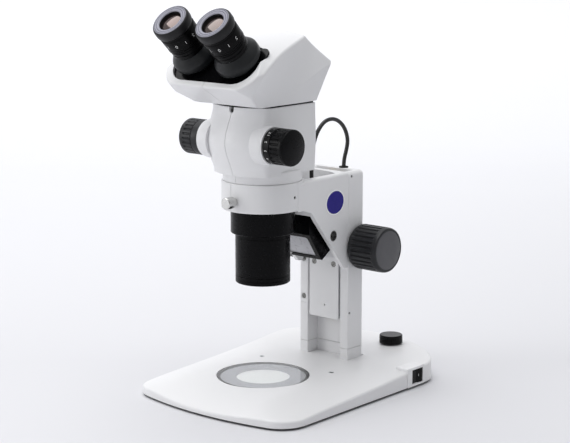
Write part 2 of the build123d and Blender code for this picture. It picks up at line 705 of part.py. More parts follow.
with BuildPart() as lamp_housing:
    with BuildSketch(SIDE.offset(-lamp_half_width)):
        with BuildLine():
            Polyline(*lamp_front, *lamp_back, close=True)
        make_face()
    extrude(amount=2 * lamp_half_width)
    fillet(lamp_housing.edges().filter_by(Axis.X), 1.5)
    with BuildSketch(WINDOW):
        RectangleRounded(44, 28, 3)
    extrude(amount=-16, mode=Mode.SUBTRACT)
lamp_housing.part.label = "lamp_housing"
export_step(lamp_housing.part, "parts/lamp_housing.step")

with BuildPart() as lamp_window:
    with BuildSketch(WINDOW.offset(-1.4)):
        RectangleRounded(44 - 2 * hair, 28 - 2 * hair, 3)
    extrude(amount=-2)
lamp_window.part.label = "lamp_window"
export_step(lamp_window.part, "parts/lamp_window.step")

with BuildPart() as lamp_clip:
    with BuildSketch(SIDE.offset(-20)):
        with BuildLine():
            Polyline(
                (62.2, 145.2), (57, 141.2), (55, 143.6), (55.6, 144.1), (57.2, 142.2), (61.7, 145.8),
                close=True,
            )
        make_face()
    extrude(amount=9)
lamp_clip.part.label = "lamp_clip"
export_step(lamp_clip.part, "parts/lamp_clip.step")

# lamp cable: out of the column, over and down into the arm's pocket
cable_radius = 2.2
cable_x = grommet_x
cable_route = (
    (cable_x, grommet_y, 229.5), (cable_x, grommet_y, 241.5), (cable_x, 131.2, 252.5),
    (cable_x, 134, 265), (cable_x, 126, 280.5),
    (cable_x, 110.5, 290), (cable_x, 92.5, 289), (cable_x, 79, 277), (cable_x, 72.5, 261),
    (cable_x, 70.5, 244), (cable_x, 71, 228), (cable_x, 71.5, 214),
)


def bend_radii(route):
    """As large an arc at each corner of a route as its two runs leave room for."""
    points = [Vector(*point) for point in route]
    radii = []
    for before, corner, after in zip(points, points[1:], points[2:]):
        arriving, leaving = corner - before, after - corner
        half_turn = radians(arriving.get_angle(leaving)) / 2
        radii.append(0.45 * min(arriving.length, leaving.length) / tan(half_turn))
    return radii


cable_radii = bend_radii(cable_route)
print("cable bend radii", [round(radius, 1) for radius in cable_radii])

with BuildPart() as lamp_cable:
    with BuildLine(AXIS) as cable_path:
        FilletPolyline(*cable_route, radius=cable_radii)
    with BuildSketch(Plane(origin=cable_path.line @ 0, z_dir=cable_path.line % 0)):
        Circle(cable_radius)
    sweep(path=cable_path.line)
lamp_cable.part.label = "lamp_cable"
export_step(lamp_cable.part, "parts/lamp_cable.step")
cable_length = cable_path.wires()[0].length
plain_volume = pi * cable_radius**2 * cable_length
print("cable length", cable_length, "volume ratio", lamp_cable.part.volume / plain_volume)

# ---- objective ----------------------------------------------------------------------
barrel_radius = 29.2
barrel_bottom_z = 125.8
collar_radius = 34.0
collar_bottom_z = 179.5

with BuildPart() as mount_sleeve:
    add(
        revolved(
            AXIS,
            (
                (27, collar_bottom_z), (collar_radius - 0.6, collar_bottom_z),
                (collar_radius, collar_bottom_z + 0.6),
                (collar_radius, ring_bottom_z + 0.5), (sleeve_radius, ring_bottom_z + 0.5),
                (sleeve_radius, ring_top_z + gap - hair), (27, ring_top_z + gap - hair),
            ),
        )
    )
mount_sleeve.part.label = "mount_sleeve"
export_step(mount_sleeve.part, "parts/mount_sleeve.step")

with BuildPart() as objective_barrel:
    add(
        revolved(
            AXIS,
            (
                (24, barrel_bottom_z), (barrel_radius - 0.8, barrel_bottom_z),
                (barrel_radius, barrel_bottom_z + 0.8),
                (barrel_radius, 129.6), (barrel_radius - 0.6, 129.8), (barrel_radius - 0.6, 130.6),
                (barrel_radius, 130.8), (barrel_radius, 133.6), (barrel_radius - 0.6, 133.8),
                (barrel_radius - 0.6, 134.6), (barrel_radius, 134.8), (barrel_radius, 174.8),
                (barrel_radius - 0.3, 175), (barrel_radius - 0.3, 175.3), (barrel_radius, 175.5),
                (barrel_radius, collar_bottom_z - hair), (27 - hair, collar_bottom_z - hair),
                (27 - hair, 188), (24.5, 188), (24.5, 140), (26.5, 140), (26.5, 128.4), (24, 128.4),
            ),
        )
    )
objective_barrel.part.label = "objective_barrel"
export_step(objective_barrel.part, "parts/objective_barrel.step")

with BuildPart() as objective_lens:
    add(disc(AXIS.offset(128.4 + hair), (0, 0), 26.5 - hair, 9))
objective_lens.part.label = "objective_lens"
export_step(objective_lens.part, "parts/objective_lens.step")

# ---- zoom body ----------------------------------------------------------------------
# height, front of the nose, half-width: the front of the body is bent outward at knob height
BODY_SECTIONS = (
    (245.0, -47.0, 39.0), (262.0, -53.2, 39.8), (zoom_z, -58.2, 40.4), (297.0, -53.6, 40.0),
    (body_top_z, -48.0, 39.5),
)


def body_plan(height, nose_y, half_width, inset):
    """Section of the zoom body: bowed front, flat sides and back."""
    half, nose, back = half_width - inset, nose_y + inset, body_rear_y - inset
    with BuildSketch(AXIS.offset(height), mode=Mode.PRIVATE) as plan:
        with BuildLine():
            ThreePointArc((-half, nose + 13.5), (0, nose), (half, nose + 13.5))
            Polyline((half, nose + 13.5), (half, back), (-half, back), (-half, nose + 13.5))
        make_face()
        fillet(plan.vertices().group_by(Axis.Y)[0], 9 - inset)
        fillet(plan.vertices().group_by(Axis.Y)[-1], 4.5 - inset)
    return plan.sketch


def body_block(inset):
    """Outside of the zoom body, or its cavity when inset."""
    with BuildPart(mode=Mode.PRIVATE) as block:
        for height, nose_y, half_width in BODY_SECTIONS:
            add(body_plan(height, nose_y, half_width, inset))
        loft()
    return block.part


boss_radius = 19.6
boss_face = zoom_knob_inner_x - 0.5
BOSS = (
    (0, 30), (boss_radius + 1.6, 30), (boss_radius + 0.6, 41.5), (boss_radius, 43.5),
    (boss_radius, boss_face), (0, boss_face),
)
body_height = body_top_z - body_bottom_z
body_cavity = body_block(wall) & slab(AXIS.offset(body_bottom_z + 3), (-90, -90), (90, 90), body_height - 6)
body_flange_radius = 42.0
notch_radius = 3.2

with BuildPart() as body_block_whole:
    add(body_block(0))
    add(disc(AXIS.offset(ring_top_z + gap), (0, 0), body_flange_radius, body_bottom_z - ring_top_z + 3))
    for side in (-1, 1):
        boss_plane = Plane((0, axis_y + zoom_y, zoom_z), x_dir=(0, 1, 0), z_dir=(side, 0, 0))
        add(revolved(boss_plane, BOSS))
    add(body_cavity, mode=Mode.SUBTRACT)
    add(disc(AXIS.offset(200), (0, 0), 27, 60), mode=Mode.SUBTRACT)
    with BuildSketch(AXIS.offset(body_top_z + 1)):
        with Locations((-15, 0), (15, 0)):
            Circle(12)
    extrude(amount=-10, mode=Mode.SUBTRACT)
    add(disc(SIDE.offset(-60), (zoom_y, zoom_z), zoom_shaft_radius + running, 120), mode=Mode.SUBTRACT)
    add(disc(FRONT.offset(30), (0, body_top_z - 2.6), notch_radius, 40), mode=Mode.SUBTRACT)
    notch = slab(FRONT.offset(30), (-notch_radius, body_top_z - 2.6), (notch_radius, body_top_z + 4), 40)
    add(notch, mode=Mode.SUBTRACT)

with BuildPart() as zoom_body_left:
    add(body_block_whole.part)
    add(slab(AXIS, (-seam / 2, -200), (200, 200), 400), mode=Mode.SUBTRACT)
zoom_body_left.part.label = "zoom_body_left"
export_step(zoom_body_left.part, "parts/zoom_body_left.step")

with BuildPart() as zoom_body_right:
    add(body_block_whole.part)
    add(slab(AXIS, (-200, -200), (seam / 2, 200), 400), mode=Mode.SUBTRACT)
zoom_body_right.part.label = "zoom_body_right"
export_step(zoom_body_right.part, "parts/zoom_body_right.step")

with BuildPart() as body_screw:
    add(disc(FRONT.offset(36), (0, body_top_z - 2.6), 2.4, 8))
    with BuildSketch(FRONT.offset(44)):
        with Locations((0, body_top_z - 2.6)):
            RegularPolygon(1.3, 6)
    extrude(amount=-3, mode=Mode.SUBTRACT)
body_screw.part.label = "body_screw"
export_step(body_screw.part, "parts/body_screw.step")

with BuildPart() as zoom_shaft:
    add(disc(SIDE.offset(-66), (zoom_y, zoom_z), zoom_shaft_radius, 132))
    extrude(gear_sketch(SIDE.offset(-5), (zoom_y, zoom_z), zoom_teeth, 0), amount=10, dir=(1, 0, 0))
zoom_shaft.part.label = "zoom_shaft"
export_step(zoom_shaft.part, "parts/zoom_shaft.step")

rod_x, rod_y = 27.0, 14.0
with BuildPart() as zoom_guide_rods:
    for side in (-1, 1):
        rod_length = body_height - 6 - 2 * hair
        add(disc(AXIS.offset(body_bottom_z + 3 + hair), (side * rod_x, rod_y), 2, rod_length))
zoom_guide_rods.part.label = "zoom_guide_rods"
export_step(zoom_guide_rods.part, "parts/zoom_guide_rods.step")

zoom_rack_pitch_y = zoom_y + zoom_pitch_radius
with BuildPart() as zoom_carriage:
    add(slab(AXIS.offset(275), (-31, -12), (31, 18), 8))
    extrude(rack_sketch(SIDE.offset(-4), zoom_rack_pitch_y, -25, 259, 300, zoom_z), amount=8, dir=(1, 0, 0))
    add(slab(AXIS.offset(275), (-4, -25.5), (4, -11), 8))
    for side in (-1, 1):
        add(disc(AXIS, (side * 15, 0), 10, 400), mode=Mode.SUBTRACT)
        add(disc(AXIS, (side * rod_x, rod_y), 2 + running, 400), mode=Mode.SUBTRACT)
zoom_carriage.part.label = "zoom_carriage"
export_step(zoom_carriage.part, "parts/zoom_carriage.step")

with BuildPart() as zoom_knob_right:
    add(zoom_knob(SIDE.offset(zoom_knob_inner_x), (zoom_y, zoom_z)))
zoom_knob_right.part.label = "zoom_knob_right"
export_step(zoom_knob_right.part, "parts/zoom_knob_right.step")

with BuildPart() as zoom_knob_left:
    add(zoom_knob(LEFT.offset(zoom_knob_inner_x), (-zoom_y, zoom_z)))
zoom_knob_left.part.label = "zoom_knob_left"
export_step(zoom_knob_left.part, "parts/zoom_knob_left.step")

# ---- binocular head -----------------------------------------------------------------
# upright sections of the head's sides, as if it were not cut off in front and behind:
# distance behind the axis, then half-width and height of its bottom edge, its side crease,
# its shoulder, and the height of its crown
HEAD_SECTIONS = (
    (63, (39.5, 316), (51, 361), (44.5, 393), 398),
    (20, (39.5, 316), (45.7, 342), (41.5, 387), 393.5),
    (-20, (39, 316), (42.8, 326), (52.6, 377), 391.5),
    (-53, (37, 316), (48.8, 329), (61.7, 364.8), 389.5),
    (-77, (38, 314), (58, 338), (65, 350.4), 387),
    (-101, (40, 312), (60, 330), (63.5, 342), 385),
)


panel_normal = (0, -1, 1)
face_half_width, face_low, face_corner_radius = 64.0, -14.5, 32.0


def head_sides(inset):
    """The head between its sides and under its crown."""
    with BuildPart(mode=Mode.PRIVATE) as block:
        for y, bottom, crease, shoulder, crown in HEAD_SECTIONS:
            with BuildSketch(behind(y)):
                with BuildLine():
                    Polyline(
                        (-shoulder[0] + inset, shoulder[1] - inset), (-crease[0] + inset, crease[1]),
                        (-bottom[0] + inset, bottom[1] - 6), (bottom[0] - inset, bottom[1] - 6),
                        (crease[0] - inset, crease[1]), (shoulder[0] - inset, shoulder[1] - inset),
                    )
                    ThreePointArc(
                        (-shoulder[0] + inset, shoulder[1] - inset), (0, crown - inset),
                        (shoulder[0] - inset, shoulder[1] - inset),
                    )
                make_face()
        loft()
    return block.part


def head_profile(inset):
    """Side view of the head: sloping front, knee, flat bottom and two rear facets."""
    lift = inset * sqrt(2)
    with BuildSketch(SIDE.offset(-90), mode=Mode.PRIVATE) as profile:
        with BuildLine():
            Polyline(
                (-92 + inset, 340.2 - inset * 0.4), (-58, head_bottom_z + 1.6 + inset),
                (-50, head_bottom_z + inset),
                (42.5 - inset, head_bottom_z + inset), (55.5 - inset, 359), (18 - inset, 389.5), (-2, 406),
                (-92 + 65.8 + inset, 406 - inset * 0.4), close=True,
            )
        make_face()
    return profile.sketch


def head_face(inset):
    """Outline of the sloping front, whose lower corners are broad and round."""
    half, low, high = face_half_width - inset, face_low + inset * 0.4, 130
    with BuildSketch(PANEL.offset(60), mode=Mode.PRIVATE) as face:
        with Locations((0, (low + high) / 2)):
            Rectangle(2 * half, high - low)
        fillet(face.vertices().group_by(Axis.Y)[0], face_corner_radius - inset)
    return face.sketch


def head_solid(inset):
    """Outside of the head, or its cavity when inset."""
    with BuildPart(mode=Mode.PRIVATE) as solid:
        extrude(head_profile(inset), amount=180, dir=(1, 0, 0))
        add(head_sides(inset), mode=Mode.INTERSECT)
        extrude(head_face(inset), amount=-280, dir=panel_normal, mode=Mode.INTERSECT)
        if inset == 0:
            middle = lambda edge: (edge.center().Y - axis_y, edge.center().Z)
            in_face = lambda edge: abs(middle(edge)[0] + 92 - middle(edge)[1] + 340.2) < 1.2
            at_bottom = lambda edge: middle(edge)[1] < 320.5 and middle(edge)[0] < 0
            at_crown = lambda edge: 17 < middle(edge)[0] < 19 and middle(edge)[1] > 388
            fillet([e for e in solid.edges() if not (in_face(e) or at_bottom(e) or at_crown(e))], 3)
            fillet([e for e in solid.edges() if in_face(e)], 2)
    return solid.part


def panel_outline(plane, margin):
    """Sloping panel: broad round lower corners, tight upper ones."""
    half, low, high = panel_half_width - margin, panel_low + margin, panel_height - margin
    with BuildSketch(plane, mode=Mode.PRIVATE) as outline:
        with Locations((0, (low + high) / 2)):
            Rectangle(2 * half, high - low)
        fillet(outline.vertices().group_by(Axis.Y)[0], 22 - margin)
        fillet(outline.vertices().group_by(Axis.Y)[-1], 7 - margin)
    return outline.sketch


panel_thickness = 2.0

with BuildPart() as head_whole:
    add(head_solid(0))
    add(head_solid(wall), mode=Mode.SUBTRACT)
    panel_seat = panel_outline(PANEL.offset(-panel_thickness - hair), 0)
    extrude(panel_seat, amount=20, dir=panel_normal, mode=Mode.SUBTRACT)
    extrude(panel_outline(PANEL.offset(-12), 3), amount=20, dir=panel_normal, mode=Mode.SUBTRACT)
    with BuildSketch(AXIS.offset(head_bottom_z - 1)):
        with Locations((-15, 0), (15, 0)):
            Circle(12)
    extrude(amount=10, mode=Mode.SUBTRACT)

with BuildPart() as head_left_shell:
    add(head_whole.part)
    add(slab(AXIS, (-seam / 2, -200), (200, 200), 500), mode=Mode.SUBTRACT)
head_left_shell.part.label = "head_left_shell"
export_step(head_left_shell.part, "parts/head_left_shell.step")

with BuildPart() as head_right_shell:
    add(head_whole.part)
    add(slab(AXIS, (-200, -200), (seam / 2, 200), 500), mode=Mode.SUBTRACT)
head_right_shell.part.label = "head_right_shell"
export_step(head_right_shell.part, "parts/head_right_shell.step")

tube_travel_in, tube_travel_out = 4.3, 6.5
slot_radius = 16.0

with BuildPart() as front_panel:
    extrude(panel_outline(PANEL.offset(-panel_thickness), hair), amount=panel_thickness, dir=panel_normal)
    for side in (-1, 1):
        with BuildSketch(PANEL.offset(-5)):
            with Locations((side * (tube_x + (tube_travel_out - tube_travel_in) / 2), tube_u)):
                SlotCenterToCenter(tube_travel_in + tube_travel_out, 2 * slot_radius)
        extrude(amount=10, mode=Mode.SUBTRACT)
front_panel.part.label = "front_panel"
export_step(front_panel.part, "parts/front_panel.step")

with BuildPart() as head_joint_ring:
    add(body_plan(body_top_z, -47.2, body_half_width, 2.2))
    extrude(amount=head_bottom_z - body_top_z)
    with BuildSketch(AXIS.offset(body_top_z - 1)):
        with Locations((-15, 0), (15, 0)):
            Circle(12)
    extrude(amount=5, mode=Mode.SUBTRACT)
head_joint_ring.part.label = "head_joint_ring"
export_step(head_joint_ring.part, "parts/head_joint_ring.step")

with BuildPart() as prism_blocks:
    for side in (-1, 1):
        low, high = sorted((side * 3, side * 30))
        add(slab(AXIS.offset(head_bottom_z + wall + 0.1), (low, -13), (high, 14), 27))
        add(slab(AXIS.offset(head_bottom_z + wall + 27.1), (low, -24), (high, 8), 20))
prism_blocks.part.label = "prism_blocks"
export_step(prism_blocks.part, "parts/prism_blocks.step")

# ---- eyepieces ----------------------------------------------------------------------
# (radius, distance out from the panel) of each piece that is turned about a tube's axis
tube_bore = 15.0
TUBE = (
    (tube_bore, -8), (tube_bore + 0.6, -8), (tube_bore + 0.6, 0.5), (19, 0.5), (19, 3.6), (22.6, 3.7),
    (23.2, 4.3), (23.2, 4.9), (24, 5.3), (24.5, 6), (24.5, 11.4), (24.1, 12.8), (22.8, 14.8), (20.6, 17.6),
    (18.9, 19.6), (18.4, 20.4), (tube_bore, 20.4),
)
BARREL = (
    (12.5, 2), (tube_bore - hair, 2), (tube_bore - hair, 20.4 + hair), (18.2, 20.4 + hair), (18.4, 20.9),
    (18.6, 24.6), (17.9, 25), (17.9, 25.8), (18.6, 26.2), (18.6, 28.8), (18, 29.2), (18, 30.2),
    (19.2, 30.6), (19.2, 31.8), (15.2, 31.8), (15.2, 52), (10.8, 52), (10.8, 50), (12.5, 50),
)
RING = (
    (15.2 + running, 32.1), (18.9, 32.1), (19.3, 32.6), (19.3, 34.2), (18.9, 34.5), (18.9, 35), (19.3, 35.3),
    (19.6, 46), (19.3, 47.2), (18.8, 47.8), (18.8, 50.2), (15.2 + running, 50.2),
)
CUP = (
    (15.5, 50.2 + hair), (18.6, 50.2 + hair), (20, 50.9), (20.5, 52.2), (20.5, 56.6), (20.2, 58.6),
    (19.6, 59.8), (18.4, tube_length), (16.9, tube_length), (16.5, tube_length - 0.5),
    (16.1, tube_length - 0.5), (15.7, tube_length), (14.2, tube_length - 0.1), (13.4, tube_length - 0.6),
    (12.4, tube_length - 1.8), (12, tube_length - 3), (12, 52.6), (15.5, 52.6),
)
LENS = ((0, 52 + hair), (11.9, 52 + hair), (11.9, 55.6), (9.5, 56.7), (5, 57.5), (0, 57.8))

for side, hand in ((-1, "left"), (1, "right")):
    tube_origin = PANEL.from_local_coords((side * tube_x, tube_u, 0))
    tube_plane = Plane(tube_origin, x_dir=PANEL.x_dir, z_dir=PANEL.z_dir)

    with BuildPart() as tube:
        add(revolved(tube_plane, TUBE))
    tube.part.label = f"tube_{hand}"
    export_step(tube.part, f"parts/tube_{hand}.step")

    with BuildPart() as eyepiece_barrel:
        add(revolved(tube_plane, BARREL))
    eyepiece_barrel.part.label = f"eyepiece_barrel_{hand}"
    export_step(eyepiece_barrel.part, f"parts/eyepiece_barrel_{hand}.step")

    with BuildPart() as diopter_ring:
        add(revolved(tube_plane, RING))
    diopter_ring.part.label = f"diopter_ring_{hand}"
    export_step(diopter_ring.part, f"parts/diopter_ring_{hand}.step")

    with BuildPart() as eyecup:
        add(revolved(tube_plane, CUP))
    eyecup.part.label = f"eyecup_{hand}"
    export_step(eyecup.part, f"parts/eyecup_{hand}.step")

    with BuildPart() as eye_lens:
        add(revolved(tube_plane, LENS))
    eye_lens.part.label = f"eye_lens_{hand}"
    export_step(eye_lens.part, f"parts/eye_lens_{hand}.step")
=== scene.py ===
"""Stereo microscope: the looks of every surface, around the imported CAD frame. Metres, +Z up."""
import json
from math import cos, pi, radians, sin, sqrt, tau

import bmesh
import bpy
from mathutils import Matrix, Vector


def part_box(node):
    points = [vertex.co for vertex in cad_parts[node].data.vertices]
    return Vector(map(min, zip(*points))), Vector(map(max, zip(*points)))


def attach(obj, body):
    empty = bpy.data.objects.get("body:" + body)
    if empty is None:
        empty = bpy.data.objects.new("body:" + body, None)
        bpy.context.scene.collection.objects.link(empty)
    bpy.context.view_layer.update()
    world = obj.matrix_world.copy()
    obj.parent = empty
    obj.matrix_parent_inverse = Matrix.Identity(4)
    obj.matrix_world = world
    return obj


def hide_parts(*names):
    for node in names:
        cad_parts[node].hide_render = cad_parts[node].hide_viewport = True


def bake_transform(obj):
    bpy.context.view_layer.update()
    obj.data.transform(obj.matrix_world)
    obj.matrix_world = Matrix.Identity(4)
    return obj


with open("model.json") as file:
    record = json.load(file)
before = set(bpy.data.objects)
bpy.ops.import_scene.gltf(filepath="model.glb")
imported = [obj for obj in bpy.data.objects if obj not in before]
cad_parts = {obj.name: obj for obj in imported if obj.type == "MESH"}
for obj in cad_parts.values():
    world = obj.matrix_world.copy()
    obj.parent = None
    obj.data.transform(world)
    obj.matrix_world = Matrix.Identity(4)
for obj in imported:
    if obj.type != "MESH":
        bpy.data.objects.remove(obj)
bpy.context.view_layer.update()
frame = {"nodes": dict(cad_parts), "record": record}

MM = 0.001
NODES = frame["nodes"]
JOINTS = {joint["name"]: joint for joint in frame["record"]["behaviour"]["joints"]}
AXIS_Y = JOINTS["microscope_swivel"]["pos_m"][1]        # the optical axis


# ---- materials ----------------------------------------------------------------------
MIX_LOW, MIX_HIGH, MIX_RESULT = 6, 7, 2     # the colour sockets of a Mix node
NOISE_LOW, NOISE_HIGH = 0.3, 0.7            # nearly all of a noise's values lie between these
GRAIN_LIFT = 1.35                           # how much lighter the pale patches of a grain are
GRAIN_SPREAD = 0.06                         # how far a grain's roughness strays


def surface(name, colour, roughness, **inputs):
    """Principled material: its constants sit on the shader's own sockets."""
    material = bpy.data.materials.new(name)
    material.use_nodes = True
    shader = material.node_tree.nodes["Principled BSDF"]
    shader.inputs["Base Color"].default_value = (*colour, 1)
    shader.inputs["Roughness"].default_value = roughness
    for socket, value in inputs.items():
        shader.inputs[socket.replace("_", " ")].default_value = value
    material.diffuse_color = (*colour, 1)
    return material


def node(material, kind, **values):
    """New node with its settings and the defaults of its sockets."""
    made = material.node_tree.nodes.new(kind)
    for key, value in values.items():
        socket = key.replace("_", " ").title()
        if socket in made.inputs:
            made.inputs[socket].default_value = value
        else:
            setattr(made, key, value)
    return made


def noise(material, scale, detail=3.0, stretch=(1, 1, 1)):
    """Noise in object space, in metres, stretched where the finish has a direction."""
    links = material.node_tree.links
    place = node(material, "ShaderNodeTexCoord")
    mapping = node(material, "ShaderNodeMapping")
    mapping.inputs["Scale"].default_value = stretch
    texture = node(material, "ShaderNodeTexNoise", scale=scale, detail=detail)
    links.new(place.outputs["Object"], mapping.inputs["Vector"])
    links.new(mapping.outputs["Vector"], texture.inputs["Vector"])
    return texture.outputs["Fac"]


def relief(material, height, strength, distance, edge=0.0):
    """Fine relief over the surface, and optionally softened edges under it."""
    links = material.node_tree.links
    shader = material.node_tree.nodes["Principled BSDF"]
    bump = node(material, "ShaderNodeBump", strength=strength, distance=distance)
    links.new(height, bump.inputs["Height"])
    if edge:
        soft = node(material, "ShaderNodeBevel", radius=edge, samples=6)
        links.new(soft.outputs["Normal"], bump.inputs["Normal"])
    links.new(bump.outputs["Normal"], shader.inputs["Normal"])


def vary(material, socket, factor, low, high):
    """A socket that follows a texture between two values."""
    links = material.node_tree.links
    shader = material.node_tree.nodes["Principled BSDF"]
    if isinstance(low, tuple):
        blend = node(material, "ShaderNodeMix", data_type="RGBA")
        blend.inputs[MIX_LOW].default_value = (*low, 1)
        blend.inputs[MIX_HIGH].default_value = (*high, 1)
        links.new(factor, blend.inputs["Factor"])
        links.new(blend.outputs[MIX_RESULT], shader.inputs[socket])
    else:
        span = node(material, "ShaderNodeMapRange")
        span.inputs["From Min"].default_value = NOISE_LOW
        span.inputs["From Max"].default_value = NOISE_HIGH
        span.inputs["To Min"].default_value = low
        span.inputs["To Max"].default_value = high
        links.new(factor, span.inputs["Value"])
        links.new(span.outputs["Result"], shader.inputs[socket])


def white_enamel():
    """Satin white paint with a faint orange peel and soft edges."""
    made = surface("white_enamel", (0.79, 0.79, 0.80), 0.36, Specular_IOR_Level=0.4)
    vary(made, "Roughness", noise(made, 60), 0.32, 0.42)
    relief(made, noise(made, 700, 2), 0.05, 0.0002, edge=0.0006)
    return made


def black_enamel():
    """Semi-gloss black of the panel, the rocker and the dimmer."""
    made = surface("black_enamel", (0.003, 0.003, 0.0035), 0.2, Specular_IOR_Level=0.14)
    vary(made, "Roughness", noise(made, 90), 0.16, 0.26)
    relief(made, noise(made, 1500, 2), 0.05, 0.0001, edge=0.0004)
    return made


def anodised():
    """Satin black anodising with the faint rings of the lathe."""
    made = surface("anodised", (0.002, 0.002, 0.0025), 0.25, Specular_IOR_Level=0.1)
    vary(made, "Roughness", noise(made, 140), 0.24, 0.33)
    relief(made, noise(made, 2500, 2, (0.05, 0.05, 1)), 0.12, 0.00005, edge=0.0003)
    return made


def grained(name, colour, roughness, scale, strength, **inputs):
    """Moulded plastic or rubber with a fine grain."""
    made = surface(name, colour, roughness, **inputs)
    light = tuple(min(1, GRAIN_LIFT * part) for part in colour)
    vary(made, "Base Color", noise(made, 45), colour, light)
    vary(made, "Roughness", noise(made, 160), roughness - GRAIN_SPREAD, roughness + GRAIN_SPREAD)
    relief(made, noise(made, scale, 4), strength, 0.0002, edge=0.0003)
    return made


def metal(name, colour, roughness, stretch=(1, 1, 1)):
    """Bare metal with fine machining marks."""
    made = surface(name, colour, roughness, Metallic=1.0)
    vary(made, "Roughness", noise(made, 400, 3, stretch), roughness * 0.7, roughness * 1.3)
    relief(made, noise(made, 3000, 2, stretch), 0.08, 0.00005, edge=0.0002)
    return made


def clear_glass(name, colour, **inputs):
    """Polished glass with a trace of dust in its roughness."""
    made = surface(name, colour, 0.02, Transmission_Weight=1.0, IOR=1.5, **inputs)
    vary(made, "Roughness", noise(made, 35), 0.0, 0.05)
    return made


def coated_lens(name, metallic, near, far):
    """Coated glass whose reflection drifts between two tints."""
    made = surface(name, near, 0.06, Metallic=metallic, Coat_Weight=0.6, Coat_Roughness=0.02)
    vary(made, "Base Color", noise(made, 55), near, far)
    return made


def milky():
    """Opal diffuser that glows faintly."""
    made = surface("milky", (0.9, 0.9, 0.88), 0.5,
                   Emission_Color=(0.98, 0.99, 1, 1), Emission_Strength=0.2)
    relief(made, noise(made, 1200, 2), 0.1, 0.0001)
    return made


def board():
    """Green circuit board with a mottled solder mask."""
    made = surface("board", (0.03, 0.20, 0.08), 0.4)
    vary(made, "Base Color", noise(made, 300), (0.02, 0.15, 0.06), (0.05, 0.26, 0.11))
    return made


def jacket():
    """Smooth black cable jacket."""
    made = surface("jacket", (0.012, 0.012, 0.012), 0.38)
    relief(made, noise(made, 900, 2), 0.08, 0.0001)
    return made


def badge_blue():
    """Glossy blue enamel of the badge."""
    made = surface("badge_blue", (0.016, 0.010, 0.21), 0.25, Specular_IOR_Level=0.1)
    vary(made, "Base Color", noise(made, 80), (0.013, 0.008, 0.19), (0.019, 0.012, 0.24))
    return made


WHITE = white_enamel()
GLOSS = black_enamel()
BLACK = anodised()
RUBBER = grained("eyecup_rubber", (0.006, 0.006, 0.007), 0.45, 2600, 0.15, Specular_IOR_Level=0.3)
TUBE = grained("tube_satin", (0.008, 0.009, 0.010), 0.36, 2600, 0.1, Specular_IOR_Level=0.3)
FOOT = grained("foot_rubber", (0.008, 0.008, 0.008), 0.7, 2000, 0.2, Specular_IOR_Level=0.3)
KNOB = grained("knob_plastic", (0.012, 0.0125, 0.0145), 0.4, 2200, 0.14, Specular_IOR_Level=0.35)
DARK = grained("dark_plastic", (0.002, 0.002, 0.0025), 0.3, 2000, 0.1, Specular_IOR_Level=0.12)
MOULDED = grained("white_plastic", (0.72, 0.72, 0.73), 0.42, 1500, 0.06)
# The mask ring's mid grey is painted shade of the cavity under the stage glass.
MASK_CAVITY_SHADE = grained("mask_painted_cavity_shade", (0.26, 0.26, 0.30), 0.5, 1500, 0.06)
PLATE = grained("plate_paint", (0.02, 0.02, 0.022), 0.55, 1500, 0.15)
CHROME = metal("bright_nickel", (0.62, 0.62, 0.61), 0.22)
STEEL = metal("ground_steel", (0.52, 0.53, 0.54), 0.28, (1, 1, 0.1))
BRASS = metal("machined_brass", (0.72, 0.55, 0.26), 0.25)
ALUMINIUM = metal("machined_aluminium", (0.66, 0.67, 0.68), 0.3)
PLATE_GLASS = clear_glass("plate_glass", (0.975, 0.99, 0.985), Specular_IOR_Level=0.3)
PRISM_GLASS = clear_glass("prism_glass", (0.9, 0.96, 0.95))
LENS = coated_lens("objective_glass", 0.3, (0.04, 0.12, 0.09), (0.16, 0.06, 0.12))
EYE_GLASS = coated_lens("eyepiece_glass", 0.85, (0.10, 0.088, 0.08), (0.17, 0.115, 0.105))
MILKY = milky()
BOARD = board()
JACKET = jacket()
BLUE = badge_blue()
RIM = surface("badge_border", (0.95, 0.95, 0.96), 0.4)
# Frosted lamp window whose light grey is partly its frosting and partly a painted reflection.
WINDOW_FROST_AND_REFLECTION = grained("lamp_frosting_and_painted_reflection", (0.50, 0.50, 0.53), 0.3, 1500, 0.04)
SCREW = metal("dark_screw", (0.22, 0.22, 0.21), 0.3)
INK = surface("scale_ink", (0.75, 0.75, 0.74), 0.5)
# The eyecup face is the same black rubber painted grey: a painted sheen of the overhead light on its
# upward face.
CUP_FACE_SHEEN = grained("eyecup_face_painted_sheen", (0.24, 0.24, 0.285), 0.45, 2600, 0.1)
KNOB_FACE = grained("knob_face", (0.070, 0.070, 0.076), 0.42, 2200, 0.08)

